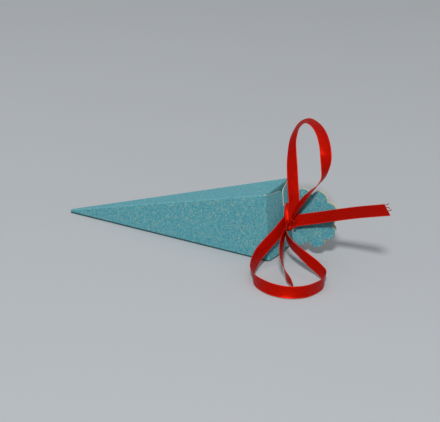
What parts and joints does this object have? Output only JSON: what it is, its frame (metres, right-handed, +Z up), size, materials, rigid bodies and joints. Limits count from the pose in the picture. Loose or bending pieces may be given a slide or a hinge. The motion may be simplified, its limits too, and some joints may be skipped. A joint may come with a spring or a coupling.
{
  "type": "cone favour box",
  "caption": "Long square pyramid box folded from card, lying on one wall, closed by flaps with scalloped petals that a narrow ribbon bow ties together.",
  "frame": {"origin": "bottom centre of the folded card's box, on the surface that it lies on", "axes": "+X along the box from its tip to its petals, +Z up from the wall that it lies on"},
  "size_m": [0.1954, 0.0892, 0.0745],
  "materials": {
    "card": "matte teal card with short pale fibres, pale at its cut edges and inside",
    "ribbon": "red satin ribbon with a corded edge"
  },
  "bodies": {
    "root": {"folded_card": "card", "ribbon_bow": "ribbon"}
  },
  "joints": []
}
